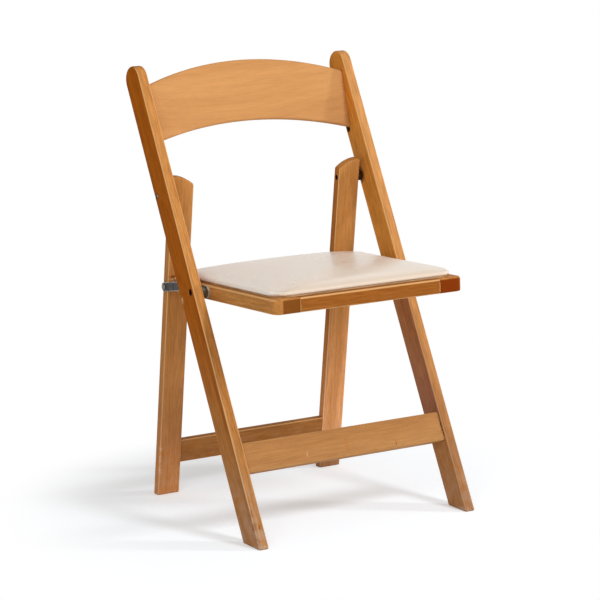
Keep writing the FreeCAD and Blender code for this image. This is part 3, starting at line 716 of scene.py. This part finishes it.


# Steel and plywood

# rim: width of the bright edges, rubbed steel and partly a painted highlight on the link and the plate; dull:
# colour of the stained places
plainSteel = {
    "metal": 1.0,
    "specular": 0.5,
    "rim": 0.0009,
    "patches": 1.2,
    "dullShare": 0.6,               # brightness of the stained places where no dull colour is given
    "brush": (1.0, 0.06, 1.0),
    "scratchScale": 1800.0,
    "scratchDetail": 2.0,
    "scratchBand": (0.3, 0.7),
    "smoother": 0.08,
    "rougher": 0.12,
    "stainScale": 160.0,
    "stainDetail": 4.0,
    "stainBand": (0.4, 0.75),
    "bump": 0.05,
    "bumpDepth": 0.0003,
}
steelTones = {
    # dark steel, darkened further as painted shade of the post; its bright rim is partly a painted reflection
    "linkSteel": {
        "color": rgb(0.060, 0.058, 0.062), "dull": rgb(0.034, 0.022, 0.015), "bright": rgb(0.75, 0.73, 0.70),
        "roughness": 0.38, "rim": 0.0018},
    # the cream rim is a painted highlight of the rounded front edge, and the brown is lightened as painted
    # light against the shade by the post
    "plateSteel": {
        "color": rgb(0.20, 0.155, 0.085), "bright": rgb(0.90, 0.78, 0.58),
        "roughness": 0.42, "rim": 0.0022, "metal": 0.15},
    "screwSteel": {"color": rgb(0.52, 0.52, 0.52), "bright": rgb(0.72, 0.72, 0.72), "roughness": 0.28},
    "wornSteel": {
        "color": rgb(0.16, 0.15, 0.14), "bright": rgb(0.85, 0.84, 0.82), "roughness": 0.30, "rim": 0.0012},
    # dark brown, partly painted shade of the narrow gap between leg and post
    "spacerSteel": {
        "color": rgb(0.050, 0.020, 0.008), "bright": rgb(0.10, 0.05, 0.02),
        "roughness": 0.6, "metal": 0.0, "specular": 0.04},
    "sleeveSteel": {
        "color": rgb(0.105, 0.078, 0.042), "bright": rgb(0.20, 0.15, 0.08), "roughness": 0.5, "metal": 0.1},
    "blackSteel": {"color": rgb(0.012, 0.010, 0.009), "bright": rgb(0.03, 0.03, 0.03), "roughness": 0.5},
}


def steelMaterial(name, own):
    look = {**plainSteel, **own}
    material, tree, shader = newMaterial(name)
    coords = addNode(tree, "ShaderNodeTexCoord").outputs["Object"]
    brushed = addNode(tree, "ShaderNodeMapping", {"Vector": coords, "Scale": look["brush"]}).outputs[0]
    scratch = noise(tree, brushed, look["scratchScale"], look["scratchDetail"])
    stain = noise(tree, coords, look["stainScale"], look["stainDetail"])
    wear = useGroup(tree, edgeWear, {
        "Vector": coords, "Width": look["rim"], "Patches": look["patches"]})["Mask"]
    dull = look.get("dull", scaled(look["color"], look["dullShare"]))
    stained = mixColor(tree, ramp(tree, stain, *look["stainBand"]), look["color"], dull)
    tree.links.new(mixColor(tree, wear, stained, look["bright"]), shader["Base Color"])
    shader["Metallic"].default_value = look["metal"]
    shader["Specular IOR Level"].default_value = look["specular"]
    spread = (look["roughness"] - look["smoother"], look["roughness"] + look["rougher"])
    tree.links.new(ramp(tree, scratch, *look["scratchBand"], to=spread), shader["Roughness"])
    addBump(tree, shader, {"Height": scratch, "Strength": look["bump"], "Distance": look["bumpDepth"]})
    return material


steels = {name: steelMaterial(name, look) for name, look in steelTones.items()}
steelPieces = {
    "left_fold_link": "linkSteel", "right_fold_link": "linkSteel", "link_studs": "linkSteel",
    "left_seat_plate": "plateSteel", "right_seat_plate": "plateSteel", "plate_screws": "screwSteel",
    "link_washers": "screwSteel", "leg_pivot_nuts": "blackSteel", "leg_pivot_spacers": "spacerSteel",
    "seat_pivot_sleeves": "sleeveSteel", "seat_pivot_inserts": "screwSteel",
}
for pieceName, steelName in steelPieces.items():
    dress(nodes[pieceName], steels[steelName])

plywood = {
    "pale": rgb(0.62, 0.43, 0.25),
    "deep": rgb(0.44, 0.27, 0.13),
    "streaks": 0.7,
    "lines": 0.5,
    "flecks": 0.1,
    "roughness": 0.75,
    "bump": 0.15,
    "bumpDepth": 0.0008,
}


def plywoodMaterial(look):
    material, tree, shader = newMaterial("birchPly")
    coords = addNode(tree, "ShaderNodeTexCoord").outputs["Object"]
    along = addNode(tree, "ShaderNodeMapping", {"Vector": coords, "Rotation": alongX(0)}).outputs[0]
    grain = useGroup(tree, beechGrain, {
        "Vector": along, "Pale": look["pale"], "Deep": look["deep"],
        "Streaks": look["streaks"], "Lines": look["lines"], "Flecks": look["flecks"]})
    tree.links.new(grain["Color"], shader["Base Color"])
    shader["Roughness"].default_value = look["roughness"]
    addBump(tree, shader, {
        "Height": grain["Relief"], "Strength": look["bump"], "Distance": look["bumpDepth"]})
    return material


dress(nodes["seat_panel"], plywoodMaterial(plywood))
print("steel and plywood dressed")


# Screws and bolts: domed heads with a cross recess, set by one node tree

screwMesh = {
    "domeSegments": 32,
    "domeRings": 20,
    "shankSides": 24,
    "block": 0.1,                   # edge of the cube that keeps the upper half of the dome
}


def makeScrewTree(look):
    tree, given, out = newGroup(
        "screwSet",
        [("Geometry", "Geometry", None), ("Head Radius", "Float", 0.005), ("Head Height", "Float", 0.003),
         ("Recess Span", "Float", 0.005), ("Recess Width", "Float", 0.0012),
         ("Recess Depth", "Float", 0.0016), ("Shank Radius", "Float", 0.003),
         ("Shank Length", "Float", 0.02), ("Material", "Material", None)],
        [("Geometry", "Geometry", None)], kind="GeometryNodeTree")

    def joined(*parts):
        made = tree.nodes.new("GeometryNodeJoinGeometry")
        for part in reversed(parts):
            tree.links.new(part, made.inputs[0])
        return made.outputs[0]

    def vectorOf(x, y, z):
        return addNode(tree, "ShaderNodeCombineXYZ", {0: x, 1: y, 2: z}).outputs[0]

    def box(size):
        return addNode(tree, "GeometryNodeMeshCube", {"Size": size}).outputs[0]

    def lifted(piece, height):
        return addNode(tree, "GeometryNodeTransform", {
            "Geometry": piece, "Translation": vectorOf(0.0, 0.0, height)}).outputs[0]

    ball = addNode(tree, "GeometryNodeMeshUVSphere", {
        "Segments": look["domeSegments"], "Rings": look["domeRings"], "Radius": 1.0}).outputs[0]
    domeScale = vectorOf(given["Head Radius"], given["Head Radius"], given["Head Height"])
    dome = addNode(tree, "GeometryNodeTransform", {"Geometry": ball, "Scale": domeScale}).outputs[0]
    block = look["block"]
    keep = lifted(box(vectorOf(block, block, block)), block / 2)
    upper = addNode(tree, "GeometryNodeMeshBoolean", {"Mesh 2": keep}, operation="INTERSECT", solver="EXACT")
    tree.links.new(dome, upper.inputs["Mesh 2"])
    depth = times(tree, given["Recess Depth"], 2.0)
    cross = [box(vectorOf(given["Recess Span"], given["Recess Width"], depth)),
             box(vectorOf(given["Recess Width"], given["Recess Span"], depth))]
    head = addNode(tree, "GeometryNodeMeshBoolean", {"Mesh 1": upper.outputs[0]},
                   operation="DIFFERENCE", solver="EXACT")
    for bar in cross:
        tree.links.new(lifted(bar, given["Head Height"]), head.inputs["Mesh 2"])
    rod = addNode(tree, "GeometryNodeMeshCylinder", {
        "Vertices": look["shankSides"], "Radius": given["Shank Radius"],
        "Depth": given["Shank Length"]}).outputs[0]
    shank = lifted(rod, times(tree, given["Shank Length"], -0.5))
    facing = addNode(tree, "GeometryNodeInputNamedAttribute", {"Name": "facing"},
                     data_type="FLOAT_VECTOR").outputs[0]
    turn = addNode(tree, "FunctionNodeAlignRotationToVector", {"Vector": facing}, axis="Z").outputs[0]
    placed = addNode(tree, "GeometryNodeInstanceOnPoints", {
        "Points": given["Geometry"], "Instance": joined(head.outputs[0], shank), "Rotation": turn}).outputs[0]
    real = addNode(tree, "GeometryNodeRealizeInstances", {"Geometry": placed}).outputs[0]
    finished = addNode(tree, "GeometryNodeSetMaterial", {
        "Geometry": real, "Material": given["Material"]}).outputs[0]
    tree.links.new(finished, out["Geometry"])
    return tree


screwSet = makeScrewTree(screwMesh)


def setScrews(name, node, body, places, sizes, material):
    points = bpy.data.meshes.new(name + "Points")
    points.from_pydata([place for place, facing in places], [], [])
    attribute = points.attributes.new("facing", "FLOAT_VECTOR", "POINT")
    for entry, (place, facing) in zip(attribute.data, places):
        entry.vector = facing
    holder = bpy.data.objects.new(name + "Points", points)
    bpy.context.collection.objects.link(holder)
    modifier = holder.modifiers.new("screws", "NODES")
    modifier.node_group = screwSet
    sockets = {item.name: item.identifier for item in screwSet.interface.items_tree if item.in_out == "INPUT"}
    for label, value in sizes.items():
        modifier[sockets[label]] = value
    modifier[sockets["Material"]] = material
    bpy.context.view_layer.update()
    depsgraph = bpy.context.evaluated_depsgraph_get()
    mesh = bpy.data.meshes.new_from_object(holder.evaluated_get(depsgraph))
    bpy.data.objects.remove(holder)
    bpy.data.meshes.remove(points)
    screws = bpy.data.objects.new(name, mesh)
    mesh.name = name
    bpy.context.collection.objects.link(screws)
    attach(screws, body)
    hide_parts(node)
    print(name, "set:", len(places), "screws,", len(mesh.polygons), "faces")


pivotSizes = {
    "Head Radius": 0.005, "Head Height": 0.0032, "Recess Span": 0.0052, "Recess Width": 0.0013,
    "Recess Depth": 0.0017, "Shank Radius": 0.003,
}
linkSizes = {
    "Head Radius": 0.0056, "Head Height": 0.0032, "Recess Span": 0.0056, "Recess Width": 0.0014,
    "Recess Depth": 0.0017, "Shank Radius": 0.002,
}
boltHeads = {
    "leg_pivot_bolts": {
        "name": "leg_pivot_bolt_heads", "body": "post_frame", "steel": "screwSteel", "sizes": pivotSizes},
    # the seat pivot bolt heads take near-black steel as painted shade in their recess
    "seat_pivot_bolts": {
        "name": "seat_pivot_bolt_heads", "body": "seat", "steel": "blackSteel", "sizes": pivotSizes},
    "link_screws": {
        "name": "link_screw_heads", "body": "rear_leg_frame", "steel": "wornSteel", "sizes": linkSizes},
}


def setBolts(node, look):
    low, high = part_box(node)
    inner = min(abs(vertex.co.x) for vertex in nodes[node].data.vertices)
    seat = high[0] - look["sizes"]["Head Height"]
    middle = ((low[1] + high[1]) / 2, (low[2] + high[2]) / 2)
    places = [((side * seat, *middle), (side, 0, 0)) for side in (-1, 1)]
    sizes = dict(look["sizes"], **{"Shank Length": seat - inner})
    setScrews(look["name"], node, look["body"], places, sizes, steels[look["steel"]])


for boltNode, boltLook in boltHeads.items():
    setBolts(boltNode, boltLook)


# The seat's own frame: across, back along the seat, up from it
seatPivot = Vector(joints["seat_lift"]["pos_m"])
seatTurn = Matrix.Rotation(math.radians(-chair["seatTilt"]), 3, "X")


def toSeat(points):
    return (points - np.array(seatPivot)) @ np.array(seatTurn)


def fromSeat(points):
    return points @ np.array(seatTurn).T + np.array(seatPivot)


def meshPoints(mesh):
    flat = np.empty(len(mesh.vertices) * 3)
    mesh.vertices.foreach_get("co", flat)
    return flat.reshape(-1, 3)


panelScrewSizes = {
    "Head Radius": 0.004, "Head Height": 0.0022, "Recess Span": 0.0042, "Recess Width": 0.001,
    "Recess Depth": 0.0013, "Shank Radius": 0.002, "Shank Length": 0.016,
}


def setPanelScrews(sizes):
    points = toSeat(meshPoints(nodes["panel_screws"].data))
    middle = (points[:, 1].min() + points[:, 1].max()) / 2
    places = []
    for side in (-1, 1):
        for end in (-1, 1):
            own = points[(points[:, 0] * side > 0) & ((points[:, 1] - middle) * end > 0)]
            foot = [own[:, 0].mean(), own[:, 1].mean(), own[:, 2].min() + sizes["Head Height"]]
            places.append((tuple(fromSeat(np.array(foot))), tuple(seatTurn @ Vector((0, 0, -1)))))
    setScrews("panel_screw_heads", "panel_screws", "seat", places, sizes, steels["screwSteel"])


setPanelScrews(panelScrewSizes)


# Seat pad: foam under tight vinyl, swelled by a cloth simulation

padLook = {
    "voxel": 0.0045,
    "shrink": 0.0006,
    "smoothing": 3,
    "pinHeight": 0.0025,        # the pad's foot up to here is held still while it swells
    "pressure": 0.35,
    "quality": 6,
    "lastFrame": 20,
    "cap": 0.0020,              # no point swells further than this
    "crown": 0.0046,            # extra rise in the middle, where the foam is least squeezed
    "crownAcross": 1.5,         # powers that shape the crown across and along the seat
    "crownAlong": 6,
    "drawIn": 0.0008,
    "drawBand": 0.1,            # share of the half width that is drawn in
    "reveal": 0.0028,           # height of the dark gap under the pad
    "revealDepth": 0.0040,
    "foldCuts": (0.0, 0.0006, 0.0014),
    "turnIn": 0.010,            # width of the vinyl's turned-in rim under the panel
    "lift": 0.0025,             # how far the hidden face above the panel's underside stays clear of it
    "fill": 0.85,
}
cutTolerance = 1e-5
footTolerance = 1e-4
leastReach = 1e-9


def hullOf(points):
    shape = bmesh.new()
    for point in points:
        shape.verts.new(point)
    made = bmesh.ops.convex_hull(shape, input=shape.verts)
    loose = made["geom_interior"] + made["geom_unused"]
    spare = [item for item in loose if isinstance(item, bmesh.types.BMVert)]
    bmesh.ops.delete(shape, geom=list(set(spare)), context="VERTS")
    bmesh.ops.recalc_face_normals(shape, faces=shape.faces)
    mesh = bpy.data.meshes.new("seat_pad")
    shape.to_mesh(mesh)
    shape.free()
    return mesh


def applied(piece):
    bpy.context.view_layer.update()
    depsgraph = bpy.context.evaluated_depsgraph_get()
    mesh = bpy.data.meshes.new_from_object(piece.evaluated_get(depsgraph))
    old = piece.data
    piece.modifiers.clear()
    piece.data = mesh
    bpy.data.meshes.remove(old)
    return mesh


def setPoints(mesh, points):
    mesh.vertices.foreach_set("co", points.ravel())
    mesh.update()


def swell(pad, floorLevel, look):
    points = meshPoints(pad.data)
    pins = pad.vertex_groups.new(name="foot")
    held = np.nonzero(points[:, 2] < floorLevel + look["pinHeight"])[0]
    pins.add([int(i) for i in held], 1.0, "REPLACE")
    cloth = pad.modifiers.new("cloth", "CLOTH")
    cloth.settings.vertex_group_mass = "foot"
    cloth.settings.use_pressure = True
    cloth.settings.uniform_pressure_force = look["pressure"]
    cloth.settings.effector_weights.gravity = 0.0
    cloth.settings.quality = look["quality"]
    cloth.point_cache.frame_start = 1
    cloth.point_cache.frame_end = look["lastFrame"]
    for step in range(1, look["lastFrame"] + 1):
        bpy.context.scene.frame_set(step)
    swelled = meshPoints(applied(pad))
    bpy.context.scene.frame_set(1)
    pad.vertex_groups.clear()
    moved = swelled - points
    reach = np.linalg.norm(moved, axis=1, keepdims=True)
    capped = moved * np.minimum(1.0, look["cap"] / np.maximum(reach, leastReach))
    setPoints(pad.data, points + capped)
    print("pad swelled by at most", round(float(reach.max()) * 1000, 2), "mm before its cap")


def shaped(points, look):
    # the foam stands fullest along the middle and each side is drawn in between its corners
    low, high = points.min(axis=0), points.max(axis=0)
    across = (points - (high + low) / 2) / ((high - low) / 2)
    arch = np.clip(1 - across[:, 0] ** 2, 0, 1) ** look["crownAcross"]
    arch = arch * (1 - across[:, 1] ** look["crownAlong"])
    rise = (points[:, 2] - low[2]) / (high[2] - low[2])
    points[:, 2] += look["crown"] * np.clip(arch, 0, 1) * rise
    band = look["drawBand"]
    for axis, other in ((0, 1), (1, 0)):
        near = np.clip((np.abs(across[:, axis]) - (1 - band)) / band, 0, 1)
        points[:, axis] -= np.sign(across[:, axis]) * near * look["drawIn"] * (1 - across[:, other] ** 2)
    return points


def foldUnder(mesh, floorLevel, centre, half, look):
    # the vinyl turns in over a narrow gap above the frame
    shape = bmesh.new()
    shape.from_mesh(mesh)
    for above in look["foldCuts"]:
        cut = Vector((0, 0, floorLevel + look["reveal"] + above))
        bmesh.ops.bisect_plane(shape, geom=shape.verts[:] + shape.edges[:] + shape.faces[:],
                               plane_co=cut, plane_no=(0, 0, 1), dist=cutTolerance)
    for vertex in shape.verts:
        if vertex.co.z < floorLevel + look["reveal"] + cutTolerance:
            for axis in (0, 1):
                drawn = 1 - look["revealDepth"] / half[axis]
                vertex.co[axis] = centre[axis] + (vertex.co[axis] - centre[axis]) * drawn
    for vertex in shape.verts:
        inside = min(half[axis] - abs(vertex.co[axis] - centre[axis]) for axis in (0, 1))
        if vertex.co.z < floorLevel + footTolerance and inside > look["turnIn"]:
            vertex.co.z += look["lift"]
    shape.to_mesh(mesh)
    shape.free()


def makePad(outer, look):
    low, high = outer.min(axis=0), outer.max(axis=0)
    half = (high - low) / 2
    centre = (high + low) / 2
    floorLevel = low[2]
    smaller = 1 - look["shrink"] / half
    shrunk = centre + (outer - centre) * smaller
    shrunk[:, 2] = floorLevel + (outer[:, 2] - floorLevel) * (1 - look["shrink"] / (high[2] - low[2]))
    pad = bpy.data.objects.new("seat_pad", hullOf(shrunk))
    bpy.context.collection.objects.link(pad)
    remesh = pad.modifiers.new("remesh", "REMESH")
    remesh.mode = "VOXEL"
    remesh.voxel_size = look["voxel"]
    smooth = pad.modifiers.new("smooth", "SMOOTH")
    smooth.iterations = look["smoothing"]
    applied(pad)
    swell(pad, floorLevel, look)
    finer = pad.modifiers.new("finer", "SUBSURF")
    finer.levels = 1
    finer.render_levels = 1
    mesh = applied(pad)
    points = meshPoints(mesh)
    points[:, 2] = np.maximum(points[:, 2], floorLevel)
    grown = (points[:, :2].max(axis=0) - points[:, :2].min(axis=0)) / 2
    points[:, :2] = centre[:2] + (points[:, :2] - centre[:2]) * (half[:2] / grown)
    setPoints(mesh, shaped(points, look))
    foldUnder(mesh, floorLevel, centre, half, look)
    setPoints(mesh, fromSeat(meshPoints(mesh)))
    mesh.polygons.foreach_set("use_smooth", [True] * len(mesh.polygons))
    mesh.update()
    return pad


# footReflection (painted reflection of the wood), frontWarmth, gapShade (painted shade): metres from their
# edge where the tone starts and is full, and its strength
vinyl = {
    "color": rgb(0.81, 0.735, 0.665),
    "paintedSideLight": rgb(0.96, 0.91, 0.86),
    "warm": rgb(0.62, 0.48, 0.35),
    "gap": rgb(0.10, 0.045, 0.02),
    "paintedLightFacing": (0.12, 0.5),     # sideways part of the normal, where the painted side light starts and is full
    "footReflection": (0.006, 0.001, 0.2),
    # warmer and darker towards the front edge
    "frontWarmth": (0.020, 0.006, 0.45),
    "gapShade": (0.0006, 0.0, 0.9),
    "mottleScale": 14.0,
    "mottleDetail": 3.0,
    "mottleBand": (0.3, 0.7),
    "mottleTones": (0.985, 1.015),
    "roughness": 0.30,
    "smoother": 0.04,
    "rougher": 0.05,
    "specular": 0.42,
    "grainScale": 950.0,
    "poreShare": 0.6,               # scale of the pores, as a share of the grain's
    "poreDetail": 2.0,
    "poreDepth": 0.5,
    "bump": 0.06,
    "bumpDepth": 0.0004,
}


def vinylMaterial(outer, look):
    material, tree, shader = newMaterial("ivoryVinyl")
    given = addNode(tree, "ShaderNodeTexCoord").outputs
    coords = given["Object"]
    mottle = noise(tree, coords, look["mottleScale"], look["mottleDetail"])
    darker, lighter = (scaled(look["color"], share) for share in look["mottleTones"])
    color = mixColor(tree, ramp(tree, mottle, *look["mottleBand"]), darker, lighter)
    # the pad's sides are lightened: painted light from the side
    sideways = mathNode(tree, "ABSOLUTE", partOf(tree, given["Normal"], "X"))
    color = mixColor(tree, ramp(tree, sideways, *look["paintedLightFacing"]), color, look["paintedSideLight"])

    # Painted reflection of the wood along the foot, a warmer, darker tone towards the front, and the painted
    # shade of the gap, in the tilted frame of the seat
    level = addNode(tree, "ShaderNodeMapping", {
        "Vector": coords, "Rotation": (math.radians(chair["seatTilt"]), 0.0, 0.0)}).outputs[0]
    height = partOf(tree, level, "Z")
    depth = partOf(tree, level, "Y")
    pivot = seatTurn.inverted() @ seatPivot
    footLevel = pivot.z + float(outer[:, 2].min())
    frontEdge = pivot.y + float(outer[:, 1].min())
    gapTop = footLevel + padLook["reveal"]
    for value, edge, key, tone in (
            (height, footLevel, "footReflection", "warm"),
            (depth, frontEdge, "frontWarmth", "warm"),
            (height, gapTop, "gapShade", "gap")):
        start, full, strength = look[key]
        mask = ramp(tree, value, edge + start, edge + full, to=(0.0, strength))
        color = mixColor(tree, mask, color, look[tone])
    tree.links.new(color, shader["Base Color"])

    cells = addNode(tree, "ShaderNodeTexVoronoi", {"Vector": coords, "Scale": look["grainScale"]},
                    feature="SMOOTH_F1").outputs[0]
    pores = noise(tree, coords, look["grainScale"] * look["poreShare"], look["poreDetail"])
    leather = mathNode(tree, "ADD", cells, times(tree, pores, look["poreDepth"]))
    spread = (look["roughness"] - look["smoother"], look["roughness"] + look["rougher"])
    tree.links.new(ramp(tree, mottle, *look["mottleBand"], to=spread), shader["Roughness"])
    shader["Specular IOR Level"].default_value = look["specular"]
    addBump(tree, shader, {"Height": leather, "Strength": look["bump"], "Distance": look["bumpDepth"]})
    return material


coverPoints = toSeat(meshPoints(nodes["seat_cover"].data))
seatPad = makePad(coverPoints, padLook)
dress(seatPad, vinylMaterial(coverPoints, vinyl))
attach(seatPad, "seat")
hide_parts("seat_cover", "seat_foam")
print("seat pad made:", len(seatPad.data.polygons), "faces")
